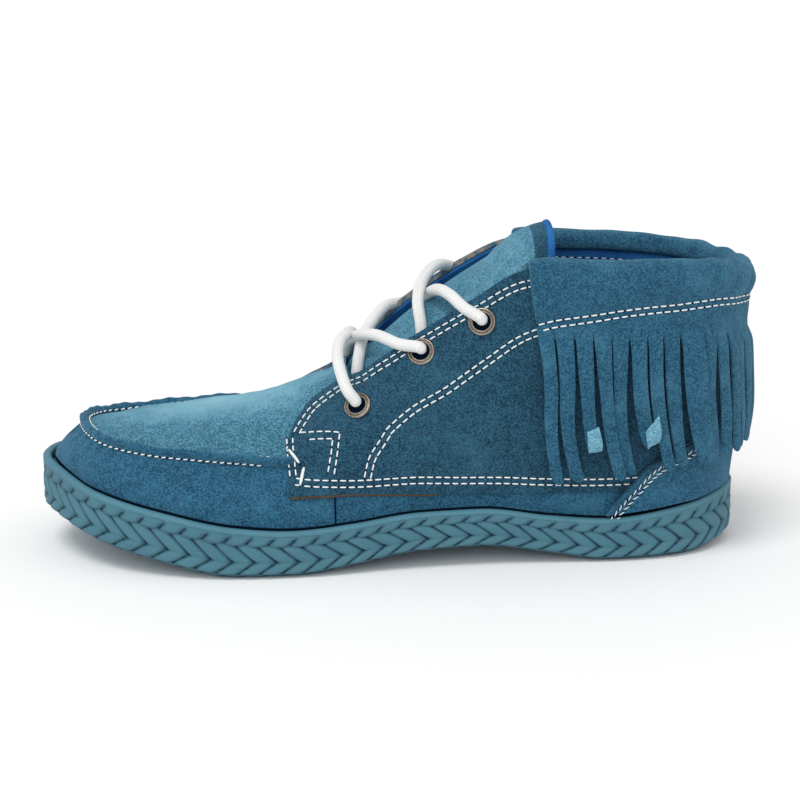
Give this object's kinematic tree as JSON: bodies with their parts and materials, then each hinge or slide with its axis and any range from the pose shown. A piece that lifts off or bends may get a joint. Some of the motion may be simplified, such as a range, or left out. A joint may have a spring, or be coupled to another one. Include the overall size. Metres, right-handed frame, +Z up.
{
  "type": "fringe ankle boot",
  "caption": "Left suede moccasin-toe ankle boot with a fringed collar cuff, round laces and a braided rubber cup sole.",
  "frame": {"origin": "On the floor under the middle of the heel's flat spot.", "axes": "+Z up, the toe points to -X and the heel to +X, the outer side of the left foot faces -Y and the inner side +Y."},
  "size_m": [0.2701, 0.0939, 0.1234],
  "materials": {
    "rubber": "matt moulded rubber with a braided side",
    "lining": "plain woven cotton lining",
    "suede": "napped split suede",
    "eyelet": "nickel-plated, softly polished",
    "lace": "round braided cotton"
  },
  "bodies": {
    "root": {"outsole": "rubber", "insole": "lining", "upper": "suede", "tongue": "suede", "cuff_fringe": "suede", "eyelet_outer_1": "eyelet", "eyelet_inner_1": "eyelet", "eyelet_outer_2": "eyelet", "eyelet_inner_2": "eyelet", "eyelet_outer_3": "eyelet", "eyelet_inner_3": "eyelet", "lace_bar": "lace", "lace_cross_lower": "lace", "lace_cross_upper": "lace"}
  },
  "joints": []
}
